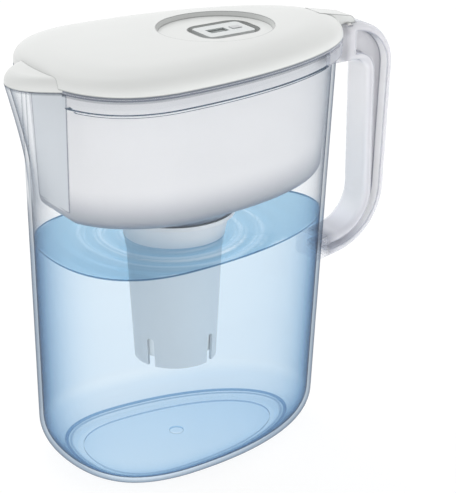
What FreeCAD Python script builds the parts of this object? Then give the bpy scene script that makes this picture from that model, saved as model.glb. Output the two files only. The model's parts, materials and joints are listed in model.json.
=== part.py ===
import FreeCAD, Part
import math
import os

V = FreeCAD.Vector

# Water filter pitcher, millimetres, +Z up, spout towards -X, handle towards +X.
# The origin is under the middle of the whole length, on the surface that it stands on.

# Cuts run past the solid that they open by this much.
overrun = 6.0

# Smooth lofts keep to this degree, so that they do not swell between their outlines.
loft_degree = 3

# Vessel: an egg-shaped clear tub, widest near the spout, on a rounded base.
vessel_height = 254.5
vessel_wall = 2.5
vessel_floor = 3.2
rim_length = 205.4
rim_half_width = 65.5
rim_widest_at = 56.0
base_front_draft = 2.0
base_back_draft = 19.4
base_side_draft = 0.9
base_widest_shift = 14.4
base_radius = 23.8
front_fullness_share = 0.65
back_fullness_share = 0.57
foot_land = 2.5
foot_recess_depth = 1.2
gate_nub_diameter = 9.0
gate_nub_height = 1.0

# Spout: the front of the tub drawn forward over its upper third.
spout_reach = 19.5
spout_rise = 84.0
spout_sweep_power = 1.2
spout_station_shares = (0.0, 0.25, 0.5, 0.75, 1.0)
nose_split_share = 0.74
nose_root_share = 0.4
nose_width_share = 0.19
spout_half_width = 28.0

# Collar: the band round the rim that the reservoir hangs on, with a bead under it.
collar_height = 8.3
collar_step = 3.4
collar_bead_height = 2.2
collar_bead_step = 1.0
collar_corner = 3.5

# Handle: an open loop with a recessed web, wrapped round the back of the rim.
handle_reach = 44.6
handle_top_rise = 4.0
handle_width = 24.0
handle_grip_depth = 22.0
handle_grip_low_depth = 15.0
handle_lean_deg = 2.8
handle_top_radius = 30.0
handle_low_radius = 44.0
handle_low_corner_share = 0.44
handle_foot_share = 0.383
handle_arm_depth = 15.0
handle_gap_drop = 20.5
handle_gap_top_radius = 8.0
handle_gap_low_radius = 26.0
handle_edge_radius = 4.0
handle_rib = 5.0
handle_web = 9.0
handle_web_start = 14.0
handle_wrap = 34.0
handle_anchor = 14.0
lift_clearance = 0.6

# Reservoir: the milky hopper that hangs in the vessel, flat-fronted for the pour channel.
hopper_depth = 85.0
hopper_wall = 2.0
hopper_clearance = 1.0
hopper_draft = 2.6
hopper_radius = 9.0
pour_gap = 4.5
hopper_low_widest_at = 76.0
hopper_nose_run = 3.6
hopper_round_share = 0.55
front_wall_lean = 2.1
flange_thickness = 2.0
flange_inset = 0.4
funnel_drop = 10.0
funnel_mouth_radius = 34.0
funnel_top_radius = 47.0

# Filter sleeve: the white socket under the reservoir, notched at its open end.
sleeve_x = -25.0
sleeve_flange_radius = 38.0
sleeve_flange_thickness = 2.5
sleeve_throat_radius = 33.6
sleeve_neck_drop = 18.5
sleeve_top_radius = 30.0
sleeve_low_radius = 25.9
sleeve_length = 99.0
sleeve_wall = 1.8
sleeve_ring_height = 1.6
sleeve_ring_step = 0.6
notch_width = 5.2
notch_height = 19.0
notch_count = 4
notch_turn_deg = 23.0

# Cartridge: the replaceable filter, a cup of media under a slotted cap with a pull knob.
cartridge_gap = 0.4
cartridge_wall = 1.5
cartridge_foot_rise = 6.0
cartridge_slot_count = 8
cartridge_slot_width = 3.0
cartridge_slot_inner = 5.0
screen_thickness = 0.8
screen_gap = 0.2
media_gap = 0.3
cap_skirt = 4.0
cap_dome_height = 15.0
cap_neck_radius = 9.0
cap_neck_height = 7.0
knob_radius = 15.0
knob_thickness = 5.0
cap_wall = 1.8
cap_slot_count = 12
cap_slot_width = 2.6
cap_slot_length = 8.0

# Lid: a thin domed cover with a lower tongue over the spout and a hinge strap at the back.
lid_height = 13.0
lid_wall = 2.2
lid_edge_run = 36.0
lid_crown_power = 2.6
crown_stations = 5
cover_height = 6.0
cover_edge_run = 8.0
cover_crown_power = 2.2
cover_back = 26.0
cover_side_gap = 1.0
seat_gap = 0.3

# Hinge: a barrel at the end of the lid's strap, snapped by its pin into the handle.
hinge_drop = 1.0
barrel_radius = 6.2
barrel_width = 15.0
barrel_gap = 0.5
strap_swing_room = 1.6
pin_radius = 1.6
pin_length = 20.0
pin_clearance = 0.05
strap_thickness = 4.6
strap_run = 22.0

# Thumb dish in the lid and the pocket in its floor.
dish_x = 6.0
dish_half_length = 37.0
dish_half_width = 34.0
dish_depth = 3.2
dish_slope = 1.0
pocket_shift = 6.0
pocket_length = 42.0
pocket_width = 32.0
pocket_depth = 5.4
pocket_radius = 11.0

# Filter life indicator: a small electronic module that drops into the pocket.
case_length = 33.0
case_width = 23.0
case_height = 5.45
case_radius = 3.0
case_wall = 1.4
case_floor = 1.0
face_thickness = 1.0
window_width = 8.0
window_margin = 5.5
window_button_gap = 3.25
button_length = 6.5
button_width = 5.0
button_margin = 4.75
button_stand = 0.5
button_gap = 0.2
button_travel = 0.5
board_thickness = 0.8
board_gap = 0.3
board_post_height = 1.2
lcd_thickness = 0.9
lcd_margin = 0.8
dome_radius = 1.8
dome_height = 0.6
cell_radius = 5.0
cell_thickness = 0.9
contact_thickness = 0.2
contact_width = 4.0
contact_tail = 2.0

# Places along the length, from the spout's tip to the back of the handle.
overall_length = spout_reach + rim_length + handle_reach
tip_x = -overall_length / 2
rim_front = tip_x + spout_reach
rim_back = rim_front + rim_length
rim_widest = rim_front + rim_widest_at
handle_back = rim_back + handle_reach
base_front = rim_front + base_front_draft
base_back = rim_back - base_back_draft
base_widest = rim_widest + base_widest_shift
base_half_width = rim_half_width - base_side_draft
spout_start_z = vessel_height - spout_rise
collar_z = vessel_height - collar_height
flange_top_z = vessel_height + flange_thickness
lid_top_z = flange_top_z + lid_height


def between(first, last, share):
    return first + (last - first) * share


def loft(wires, ruled=False):
    return Part.makeLoft(wires, True, ruled, False, loft_degree)


def box(low, high):
    size = high - low
    return Part.makeBox(size.x, size.y, size.z, low)


def prism(wire, rise):
    return Part.Face(wire).extrude(rise)


def curve(poles):
    line = Part.BezierCurve()
    line.setPoles(poles)
    return line.toShape()


def egg(z, front, back, widest, half, pull=0.0, fullness_share=front_fullness_share):
    # Half of the outline is three curves: the back, the side and the nose, which is the
    # end of the front curve split off so that the spout can be drawn forward from it.
    back_end = V(back, 0, z)
    side = V(widest, half, z)
    front_end = V(front, 0, z)
    back_poles = [
        back_end,
        V(back, half * back_fullness_share, z),
        V(between(widest, back, back_fullness_share), half, z),
        side,
    ]
    out = V(between(widest, front, fullness_share), half, z)
    inner = V(front, half * fullness_share, z)
    first = between(side, out, nose_split_share)
    second = between(out, inner, nose_split_share)
    third = between(inner, front_end, nose_split_share)
    fourth = between(first, second, nose_split_share)
    fifth = between(second, third, nose_split_share)
    root = between(fourth, fifth, nose_split_share)
    nose_poles = [
        root,
        fifth - V(pull * nose_root_share, 0, 0),
        third - V(pull, -pull * nose_width_share, 0),
        front_end - V(pull, 0, 0),
    ]
    halves = [back_poles, [side, first, fourth, root], nose_poles]
    mirrored = [[V(p.x, -p.y, p.z) for p in reversed(poles)] for poles in reversed(halves)]
    return Part.Wire([curve(poles) for poles in halves + mirrored])


def draw(z):
    # How far the spout is drawn forward of the tub at this height.
    share = max(0.0, (z - spout_start_z) / spout_rise)
    return spout_reach * share ** spout_sweep_power


def tub_sizes(z, inset):
    # Front, back, widest station and half width of the tub at a height, drawn in by the inset.
    share = z / vessel_height
    front = between(base_front, rim_front, share) + inset
    back = between(base_back, rim_back, share) - inset
    widest = between(base_widest, rim_widest, share)
    half = between(base_half_width, rim_half_width, share) - inset
    return front, back, widest, half


def tub(z, inset=0.0, pull=0.0):
    return egg(z, *tub_sizes(z, inset), pull)


def low_edges(shape, z):
    return [edge for edge in shape.Edges if abs(edge.BoundBox.ZMax - z) < vessel_wall / 10]


def tub_form(inset, floor_z, radius):
    # The drafted lower tub with its rounded base, and the upper tub with the spout.
    lower = loft([tub(floor_z, inset), tub(spout_start_z, inset)], True)
    lower = lower.makeFillet(radius, low_edges(lower, floor_z))
    heights = [between(spout_start_z, vessel_height, share) for share in spout_station_shares]
    upper = loft([tub(z, inset, draw(z)) for z in heights])
    return lower.fuse(upper)


def spout_window(half, low, high):
    # The notch in the collar where the spout comes through, with rounded lower corners.
    corner = low + collar_corner
    x = tip_x - overrun
    bend = collar_corner * (1 - math.sqrt(0.5))

    def at(y, z):
        return V(x, y, z)

    edges = [
        Part.makeLine(at(-half, high), at(-half, corner)),
        Part.Arc(at(-half, corner), at(-half - bend, low + bend), at(-half - collar_corner, low)).toShape(),
        Part.makeLine(at(-half - collar_corner, low), at(half + collar_corner, low)),
        Part.Arc(at(half + collar_corner, low), at(half + bend, low + bend), at(half, corner)).toShape(),
        Part.makeLine(at(half, corner), at(half, high)),
        Part.makeLine(at(half, high), at(-half, high)),
    ]
    return prism(Part.Wire(edges), V(rim_widest - x, 0, 0))


def rounded_wire(points, radii, lift):
    # A closed outline of straight runs joined by tangent arcs.
    edges = []
    ends = []
    count = len(points)
    for index in range(count):
        corner = points[index]
        radius = radii[index]
        to_last = (points[index - 1] - corner).normalize()
        to_next = (points[(index + 1) % count] - corner).normalize()
        half_angle = to_last.getAngle(to_next) / 2
        reach = radius / math.tan(half_angle)
        middle = (to_last + to_next).normalize()
        inward = radius / math.sin(half_angle) - radius
        ends.append((corner + to_last * reach, corner + middle * inward, corner + to_next * reach))
    for index in range(count):
        start, peak, finish = [lift(p) for p in ends[index]]
        follow = lift(ends[(index + 1) % count][0])
        if radii[index]:
            edges.append(Part.Arc(start, peak, finish).toShape())
        edges.append(Part.makeLine(finish, follow))
    return Part.Wire(edges)


def rounded_plate(x, y, z, length, width, radius, thickness):
    corners = [
        V(x - length / 2, y - width / 2, z),
        V(x + length / 2, y - width / 2, z),
        V(x + length / 2, y + width / 2, z),
        V(x - length / 2, y + width / 2, z),
    ]
    wire = rounded_wire(corners, [radius] * len(corners), lambda p: p)
    return prism(wire, V(0, 0, thickness))


def turned(profile, x):
    # A ring turned round the upright axis at x, from (radius, height) pairs.
    points = [V(x + radius, 0, z) for radius, z in profile]
    wire = Part.makePolygon(points + points[:1])
    return Part.Face(wire).revolve(V(x, 0, 0), V(0, 0, 1), 360)


def ellipse(x, z, half_length, half_width):
    return Part.Wire(Part.Ellipse(V(x, 0, z), half_length, half_width).toShape())


def export(shape, name):
    solid = shape.removeSplitter()
    solid.exportStep("parts/" + name + ".step")
    print(name, len(solid.Solids), solid.isValid(), round(solid.Volume))


os.makedirs("parts", exist_ok=True)

# Vessel
tub_outer = tub_form(0.0, 0.0, base_radius)
tub_inner = tub_form(vessel_wall, vessel_floor, base_radius - vessel_wall)
mouth = tub(vessel_height, vessel_wall, draw(vessel_height))
cavity = tub_inner.fuse(prism(mouth, V(0, 0, overrun)))

band = loft([tub(collar_z, -collar_step), tub(vessel_height, -collar_step)], True)
bead_z = collar_z - collar_bead_height
bead = loft([tub(bead_z, -collar_bead_step), tub(collar_z, -collar_bead_step)], True)
window_top_z = vessel_height + overrun
collar = band.cut(spout_window(spout_half_width, collar_z, window_top_z))
collar = collar.fuse(bead.cut(spout_window(spout_half_width + collar_corner, bead_z, window_top_z)))

wrap_x = rim_back + collar_step - handle_wrap
wrap_low = V(wrap_x, -rim_half_width * 2, bead_z - overrun)
wrap_high = V(handle_back, rim_half_width * 2, vessel_height + overrun)
wrap_zone = box(wrap_low, wrap_high)

foot_inset = base_radius + foot_land
foot_recess = loft([tub(-overrun, foot_inset), tub(foot_recess_depth, foot_inset)], True)
nub = Part.makeCylinder(
    gate_nub_diameter / 2,
    gate_nub_height + vessel_floor / 2,
    V(sleeve_x, 0, vessel_floor / 2),
)
pitcher_body = tub_outer.fuse(collar.cut(wrap_zone)).cut(cavity).cut(foot_recess).fuse(nub)
export(pitcher_body, "pitcher_body")

# Handle
handle_top_z = vessel_height + handle_top_rise
handle_gap_top_z = vessel_height - handle_gap_drop
handle_low_corner_z = vessel_height * handle_low_corner_share
handle_foot_z = vessel_height * handle_foot_share
lean = math.radians(handle_lean_deg)
top_corner_x = (
    handle_back
    - handle_top_radius
    + handle_top_radius * math.cos(lean)
    + handle_top_radius * (1 + math.sin(lean)) * math.tan(lean)
)
low_corner_x = top_corner_x - (handle_top_z - handle_low_corner_z) * math.tan(lean)
gap_x = top_corner_x - handle_grip_depth
root_x = rim_back - handle_anchor
foot_x = base_back - handle_anchor
arm_slope = (handle_low_corner_z - handle_foot_z) / (low_corner_x - foot_x)
gap_low_x = low_corner_x - handle_grip_low_depth
gap_low_z = handle_foot_z + handle_arm_depth + (gap_low_x - foot_x) * arm_slope
handle_points = [
    V(root_x, 0, handle_top_z),
    V(top_corner_x, 0, handle_top_z),
    V(low_corner_x, 0, handle_low_corner_z),
    V(foot_x, 0, handle_foot_z),
    V(foot_x, 0, handle_foot_z + handle_arm_depth),
    V(gap_low_x, 0, gap_low_z),
    V(gap_x, 0, handle_gap_top_z),
    V(root_x, 0, handle_gap_top_z),
]
handle_radii = [
    0.0,
    handle_top_radius,
    handle_low_radius,
    0.0,
    0.0,
    handle_gap_low_radius,
    handle_gap_top_radius,
    0.0,
]
handle_side = V(0, -handle_width / 2, 0)
loop_wire = rounded_wire(handle_points, handle_radii, lambda p: p + handle_side)
handle = prism(loop_wire, V(0, handle_width, 0))
long_edges = [
    edge
    for edge in handle.Edges
    if abs(abs(edge.CenterOfMass.y) - handle_width / 2) < handle_edge_radius / 10
]
handle = handle.makeFillet(handle_edge_radius, long_edges)
recess_wire = loop_wire.makeOffset2D(-handle_rib)
recess_depth = (handle_width - handle_web) / 2
recess = prism(recess_wire, V(0, recess_depth, 0))
web_middle_z = (gap_low_z + handle_gap_top_z) / 2
web_high = V(handle_back + overrun, handle_width, handle_top_z + overrun)
grip_zone = box(V(rim_back + handle_web_start, -handle_width, web_middle_z), web_high)
arm_zone = box(V(base_back + handle_web_start, -handle_width, 0), V(web_high.x, web_high.y, web_middle_z))
recess = recess.common(grip_zone.fuse(arm_zone))
handle = handle.cut(recess).cut(recess.mirror(V(0, 0, 0), V(0, 1, 0)))

hinge_x = rim_back + collar_step + barrel_gap + barrel_radius
hinge_z = handle_top_z - hinge_drop
barrel_seat = Part.makeCylinder(
    barrel_radius + barrel_gap,
    barrel_width + barrel_gap * 2,
    V(hinge_x, -barrel_width / 2 - barrel_gap, hinge_z),
    V(0, 1, 0),
)
seat_low = V(rim_back, -barrel_width / 2 - barrel_gap, hinge_z)
seat_high = V(
    hinge_x + barrel_radius + strap_swing_room, barrel_width / 2 + barrel_gap, handle_top_z + overrun
)
groove_radius = pin_radius + pin_clearance
groove_length = pin_length + barrel_gap * 2
groove = Part.makeCylinder(
    groove_radius, groove_length, V(hinge_x, -groove_length / 2, hinge_z), V(0, 1, 0)
)
groove_low = V(hinge_x - groove_radius, -groove_length / 2, hinge_z)
groove_high = V(hinge_x + groove_radius, groove_length / 2, handle_top_z + overrun)
lid_path = prism(tub(vessel_height, -collar_step - lift_clearance), V(0, 0, handle_top_z))
handle = handle.fuse(collar.common(wrap_zone)).cut(tub_outer).cut(lid_path).cut(cavity)
handle = handle.cut(barrel_seat).cut(box(seat_low, seat_high)).cut(groove)
handle = handle.cut(box(groove_low, groove_high))
export(handle, "handle")

# Reservoir
hopper_z = vessel_height - hopper_depth
hopper_inset = vessel_wall + hopper_clearance


def hopper_form(inset, low_z, high_z, radius):
    # The hopper follows the tub's wall, rounder below, and is cut off flat at the front.
    _, floor_back, _, floor_half = tub_sizes(hopper_z, hopper_inset + hopper_draft + inset)
    low_front = tub_sizes(hopper_z, vessel_wall)[0] + pour_gap + inset
    high_front = low_front - front_wall_lean
    low = egg(
        low_z,
        low_front - hopper_nose_run,
        floor_back,
        rim_front + hopper_low_widest_at,
        floor_half,
        fullness_share=hopper_round_share,
    )
    form = loft([low, tub(high_z, hopper_inset + inset)], True)
    half = rim_half_width * 2
    corners = [
        V(low_front, -half, low_z - overrun),
        V(tip_x, -half, low_z - overrun),
        V(tip_x, -half, high_z + overrun),
        V(high_front, -half, high_z + overrun),
    ]
    form = form.cut(prism(Part.makePolygon(corners + corners[:1]), V(0, half * 2, 0)))
    return form.makeFillet(radius, low_edges(form, low_z))


funnel_z = hopper_z - funnel_drop
flange_outer = prism(tub(vessel_height, flange_inset - collar_step), V(0, 0, flange_thickness))
flange_outer = flange_outer.cut(
    spout_window(spout_half_width, vessel_height - overrun, flange_top_z + overrun)
)
hopper_outer = hopper_form(0.0, hopper_z, flange_top_z, hopper_radius)
hopper_inner = hopper_form(
    hopper_wall, hopper_z + hopper_wall, flange_top_z + overrun / 2, hopper_radius - hopper_wall
)
funnel_outer = Part.makeCone(
    funnel_mouth_radius + hopper_wall,
    funnel_top_radius + hopper_wall,
    funnel_drop + hopper_wall / 2,
    V(sleeve_x, 0, funnel_z),
)
funnel_inner = Part.makeCone(
    funnel_mouth_radius,
    funnel_top_radius,
    funnel_drop + hopper_wall,
    V(sleeve_x, 0, funnel_z),
)
funnel_mouth = Part.makeCylinder(
    funnel_mouth_radius, overrun, V(sleeve_x, 0, funnel_z - overrun / 2)
)
reservoir = hopper_outer.fuse(flange_outer).fuse(funnel_outer)
reservoir = reservoir.cut(hopper_inner).cut(funnel_inner).cut(funnel_mouth)
export(reservoir, "reservoir")

# Filter sleeve
neck_z = funnel_z - sleeve_flange_thickness - sleeve_neck_drop
sleeve_low_z = funnel_z - sleeve_length
ring_z = neck_z - sleeve_ring_height
sleeve_profile = [
    (sleeve_flange_radius, funnel_z),
    (sleeve_flange_radius, funnel_z - sleeve_flange_thickness),
    (sleeve_throat_radius + sleeve_wall / 2, funnel_z - sleeve_flange_thickness),
    (sleeve_top_radius + sleeve_ring_step, neck_z),
    (sleeve_top_radius + sleeve_ring_step, ring_z),
    (sleeve_top_radius, ring_z),
    (sleeve_low_radius, sleeve_low_z),
    (sleeve_low_radius - sleeve_wall, sleeve_low_z),
    (sleeve_top_radius - sleeve_wall, ring_z),
    (sleeve_top_radius - sleeve_wall, neck_z),
    (sleeve_throat_radius - sleeve_wall / 2, funnel_z - sleeve_flange_thickness),
    (sleeve_throat_radius - sleeve_wall / 2, funnel_z),
]
filter_sleeve = turned(sleeve_profile, sleeve_x)
notch_rise = notch_height - notch_width / 2
for index in range(notch_count):
    slot = box(
        V(sleeve_x, -notch_width / 2, sleeve_low_z - overrun),
        V(sleeve_x + sleeve_top_radius + overrun, notch_width / 2, sleeve_low_z + notch_rise),
    )
    crown = Part.makeCylinder(
        notch_width / 2,
        sleeve_top_radius + overrun,
        V(sleeve_x, 0, sleeve_low_z + notch_rise),
        V(1, 0, 0),
    )
    notch = slot.fuse(crown)
    notch.rotate(V(sleeve_x, 0, 0), V(0, 0, 1), notch_turn_deg + index * 360 / notch_count)
    filter_sleeve = filter_sleeve.cut(notch)
export(filter_sleeve, "filter_sleeve")

# Cartridge
shell_top_z = funnel_z - sleeve_flange_thickness
shell_low_z = sleeve_low_z + cartridge_foot_rise
foot_share = (shell_low_z - sleeve_low_z) / (ring_z - sleeve_low_z)
socket_low_radius = between(sleeve_low_radius, sleeve_top_radius, foot_share) - sleeve_wall
shell_rim = sleeve_throat_radius - sleeve_wall / 2 - cartridge_gap
shell_neck = sleeve_top_radius - sleeve_wall - cartridge_gap
shell_low = socket_low_radius - cartridge_gap
shell_floor_z = shell_low_z + cartridge_wall
shell_profile = [
    (shell_rim, shell_top_z),
    (shell_neck, neck_z),
    (shell_neck, ring_z),
    (shell_low, shell_low_z),
    (0.0, shell_low_z),
    (0.0, shell_floor_z),
    (shell_low - cartridge_wall, shell_floor_z),
    (shell_neck - cartridge_wall, ring_z),
    (shell_neck - cartridge_wall, neck_z),
    (shell_rim - cartridge_wall, shell_top_z),
]
cartridge_shell = turned(shell_profile, sleeve_x)
slot_reach = shell_low - cartridge_wall * 2
for index in range(cartridge_slot_count):
    slot = box(
        V(sleeve_x + cartridge_slot_inner, -cartridge_slot_width / 2, shell_low_z - overrun),
        V(sleeve_x + slot_reach, cartridge_slot_width / 2, shell_floor_z + overrun / 2),
    )
    slot.rotate(V(sleeve_x, 0, 0), V(0, 0, 1), index * 360 / cartridge_slot_count)
    cartridge_shell = cartridge_shell.cut(slot)
export(cartridge_shell, "cartridge_shell")

bore_low = shell_low - cartridge_wall
bore_top = shell_neck - cartridge_wall
lower_screen_top_z = shell_floor_z + screen_thickness
lower_screen = Part.makeCylinder(
    bore_low - screen_gap, screen_thickness, V(sleeve_x, 0, shell_floor_z)
)
export(lower_screen, "lower_screen")

upper_screen_z = neck_z - screen_thickness
upper_screen = Part.makeCylinder(bore_top - screen_gap, screen_thickness, V(sleeve_x, 0, upper_screen_z))
export(upper_screen, "upper_screen")

media_share = (lower_screen_top_z - shell_floor_z) / (ring_z - shell_floor_z)
media_low = between(bore_low, bore_top, media_share) - media_gap
media_bed = turned(
    [
        (0.0, lower_screen_top_z),
        (media_low, lower_screen_top_z),
        (bore_top - media_gap, ring_z),
        (bore_top - media_gap, upper_screen_z),
        (0.0, upper_screen_z),
    ],
    sleeve_x,
)
export(media_bed, "media_bed")

cap_low_z = shell_top_z - cap_skirt
cap_dome_z = shell_top_z + cap_dome_height
cap_neck_z = cap_dome_z + cap_neck_height
knob_top_z = cap_neck_z + knob_thickness
skirt_radius = between(shell_rim, shell_neck, cap_skirt / sleeve_neck_drop) - cartridge_wall
cap_profile = [
    (skirt_radius, cap_low_z),
    (shell_rim - cartridge_wall, shell_top_z),
    (shell_rim, shell_top_z),
    (shell_rim, shell_top_z + cap_wall),
    (cap_neck_radius + cap_wall, cap_dome_z),
    (cap_neck_radius, cap_neck_z),
    (knob_radius, cap_neck_z),
    (knob_radius, knob_top_z - cap_wall),
    (knob_radius - cap_wall, knob_top_z),
    (0.0, knob_top_z),
    (0.0, cap_dome_z - cap_wall),
    (cap_neck_radius, cap_dome_z - cap_wall),
    (shell_rim - cap_wall * 2, shell_top_z),
    (skirt_radius - cap_wall, cap_low_z),
]
cartridge_cap = turned(cap_profile, sleeve_x)
slot_mid = (shell_rim + cap_neck_radius) / 2
for index in range(cap_slot_count):
    slot = box(
        V(sleeve_x + slot_mid - cap_slot_length / 2, -cap_slot_width / 2, shell_top_z),
        V(sleeve_x + slot_mid + cap_slot_length / 2, cap_slot_width / 2, cap_neck_z - cap_wall),
    )
    slot.rotate(V(sleeve_x, 0, 0), V(0, 0, 1), index * 360 / cap_slot_count)
    cartridge_cap = cartridge_cap.cut(slot)
export(cartridge_cap, "cartridge_cap")

# Lid


def lid_egg(z, inset, pull=0.0):
    # The lid's outline is the collar's, at any height.
    grow = collar_step - inset
    return egg(z, rim_front - grow, rim_back + grow, rim_widest, rim_half_width + grow, pull)


def crown(power):
    # Shares of rise and inset up a rounded shoulder, a quarter of a superellipse.
    turns = [math.pi / 2 * index / (crown_stations - 1) for index in range(crown_stations)]
    return [(math.sin(turn) ** (2 / power), 1 - math.cos(turn) ** (2 / power)) for turn in turns]


def dome(low_z, rise, inset):
    stations = crown(lid_crown_power)
    return loft([lid_egg(low_z + rise * up, inset + lid_edge_run * into) for up, into in stations])


def spout_cover(low_z, rise, inset):
    # The tongue over the spout: the nose of the rim's outline under its own low dome.
    wires = [
        lid_egg(low_z + rise * up, inset + collar_step + cover_edge_run * into, spout_reach)
        for up, into in crown(cover_crown_power)
    ]
    half = spout_half_width - cover_side_gap - inset
    keep = box(
        V(tip_x - overrun, -half, low_z - overrun),
        V(rim_front + cover_back, half, low_z + rise + overrun),
    )
    return loft(wires).common(keep)


cover_z = vessel_height + seat_gap
cover_rise = flange_thickness - seat_gap + cover_height
lid = dome(flange_top_z + seat_gap, lid_height - seat_gap, 0.0).fuse(spout_cover(cover_z, cover_rise, 0.0))
under = dome(flange_top_z + seat_gap, lid_height - seat_gap - lid_wall, lid_wall)
under_skirt = prism(lid_egg(flange_top_z - overrun, lid_wall), V(0, 0, overrun + seat_gap))
under_cover = spout_cover(cover_z, cover_rise - lid_wall, lid_wall)
under_cover_skirt = prism(
    Part.Wire(lid_egg(cover_z - overrun, lid_wall + collar_step, spout_reach)), V(0, 0, overrun)
).common(
    box(
        V(tip_x, lid_wall + cover_side_gap - spout_half_width, cover_z - overrun),
        V(rim_front + cover_back, spout_half_width - lid_wall - cover_side_gap, cover_z),
    )
)
lid = lid.cut(under).cut(under_skirt).cut(under_cover).cut(under_cover_skirt)

dish_floor_z = lid_top_z - dish_depth
dish = loft(
    [
        ellipse(dish_x, dish_floor_z, dish_half_length - dish_slope, dish_half_width - dish_slope),
        ellipse(dish_x, lid_top_z, dish_half_length, dish_half_width),
        ellipse(dish_x, lid_top_z + overrun, dish_half_length, dish_half_width),
    ],
    True,
)
pan = prism(
    ellipse(dish_x, dish_floor_z - lid_wall, dish_half_length + lid_wall, dish_half_width + lid_wall),
    V(0, 0, lid_wall * 2),
)
pocket_x = dish_x + pocket_shift
pocket_floor_z = dish_floor_z - pocket_depth
well = rounded_plate(
    pocket_x,
    0,
    pocket_floor_z - lid_wall,
    pocket_length + lid_wall * 2,
    pocket_width + lid_wall * 2,
    pocket_radius + lid_wall,
    pocket_depth + lid_wall,
)
pocket = rounded_plate(
    pocket_x, 0, pocket_floor_z, pocket_length, pocket_width, pocket_radius, pocket_depth + overrun
)

strap_front = hinge_x - strap_run
strap_points = [
    V(strap_front, 0, lid_top_z - lid_wall / 2),
    V(hinge_x, 0, hinge_z + barrel_radius),
    V(hinge_x, 0, hinge_z + barrel_radius - strap_thickness),
    V(strap_front, 0, hinge_z + barrel_radius - strap_thickness),
]
strap_side = V(0, -barrel_width / 2, 0)
strap_wire = Part.makePolygon([p + strap_side for p in strap_points + strap_points[:1]])
strap = prism(strap_wire, V(0, barrel_width, 0))
barrel = Part.makeCylinder(
    barrel_radius, barrel_width, V(hinge_x, -barrel_width / 2, hinge_z), V(0, 1, 0)
)
pin_hole = Part.makeCylinder(
    pin_radius, barrel_width + overrun, V(hinge_x, -(barrel_width + overrun) / 2, hinge_z), V(0, 1, 0)
)
lid = lid.fuse(pan).fuse(well).fuse(strap).fuse(barrel).cut(dish).cut(pocket).cut(pin_hole)
export(lid, "lid")

hinge_pin = Part.makeCylinder(pin_radius, pin_length, V(hinge_x, -pin_length / 2, hinge_z), V(0, 1, 0))
export(hinge_pin, "hinge_pin")

# Filter life indicator
case_x = pocket_x
case_top_z = pocket_floor_z + case_height
face_z = case_top_z - face_thickness
case_cavity = rounded_plate(
    case_x,
    0,
    pocket_floor_z + case_floor,
    case_length - case_wall * 2,
    case_width - case_wall * 2,
    case_radius - case_wall,
    case_height,
)
indicator_case = rounded_plate(
    case_x, 0, pocket_floor_z, case_length, case_width, case_radius, case_height - face_thickness
).cut(case_cavity)
board_length = case_length - (case_wall + board_gap) * 2
board_width = case_width - (case_wall + board_gap) * 2
inside_floor_z = pocket_floor_z + case_floor
board_z = inside_floor_z + board_post_height
for side in (1, -1):
    post = box(
        V(case_x - board_length / 2, side * board_width / 2 - case_wall / 2, inside_floor_z),
        V(case_x + board_length / 2, side * board_width / 2 + case_wall / 2, board_z),
    )
    indicator_case = indicator_case.fuse(post.common(case_cavity))
export(indicator_case, "indicator_case")

window_length = case_length - window_margin - window_button_gap - button_length - button_margin
window_x = case_x - case_length / 2 + window_margin + window_length / 2
button_x = case_x + case_length / 2 - button_margin - button_length / 2
indicator_face = rounded_plate(case_x, 0, face_z, case_length, case_width, case_radius, face_thickness)
window_hole = box(
    V(window_x - window_length / 2, -window_width / 2, face_z - overrun),
    V(window_x + window_length / 2, window_width / 2, case_top_z + overrun),
)
button_hole = box(
    V(button_x - button_length / 2 - button_gap, -button_width / 2 - button_gap, face_z - overrun),
    V(button_x + button_length / 2 + button_gap, button_width / 2 + button_gap, case_top_z + overrun),
)
indicator_face = indicator_face.cut(window_hole).cut(button_hole)
export(indicator_face, "indicator_face")

indicator_window = box(
    V(window_x - window_length / 2, -window_width / 2, face_z),
    V(window_x + window_length / 2, window_width / 2, face_z + face_thickness / 2),
)
export(indicator_window, "indicator_window")

board_top_z = board_z + board_thickness
circuit_board = box(
    V(case_x - board_length / 2, -board_width / 2, board_z),
    V(case_x + board_length / 2, board_width / 2, board_top_z),
)
export(circuit_board, "circuit_board")

lcd_panel = box(
    V(window_x - window_length / 2 - lcd_margin, -window_width / 2 - lcd_margin, board_top_z),
    V(window_x + window_length / 2 + lcd_margin, window_width / 2 + lcd_margin, board_top_z + lcd_thickness),
)
export(lcd_panel, "lcd_panel")

dome_switch = Part.makeCone(
    dome_radius, dome_radius / 2, dome_height, V(button_x, 0, board_top_z)
)
export(dome_switch, "dome_switch")

button_low_z = board_top_z + dome_height + button_travel + button_gap
button_top_z = case_top_z + button_stand
button_cap = box(
    V(button_x - button_length / 2, -button_width / 2, button_low_z),
    V(button_x + button_length / 2, button_width / 2, button_top_z),
)
export(button_cap, "reset_button")

cell_z = inside_floor_z + contact_thickness
coin_cell = Part.makeCylinder(cell_radius, cell_thickness, V(case_x, 0, cell_z))
export(coin_cell, "coin_cell")

contact_end_x = case_x + cell_radius + contact_tail
battery_contact = box(
    V(case_x - cell_radius, -contact_width / 2, inside_floor_z),
    V(contact_end_x, contact_width / 2, cell_z),
).fuse(
    box(
        V(contact_end_x - contact_thickness, -contact_width / 2, inside_floor_z),
        V(contact_end_x, contact_width / 2, board_z),
    )
)
export(battery_contact, "battery_contact")
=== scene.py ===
import json
import math

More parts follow.
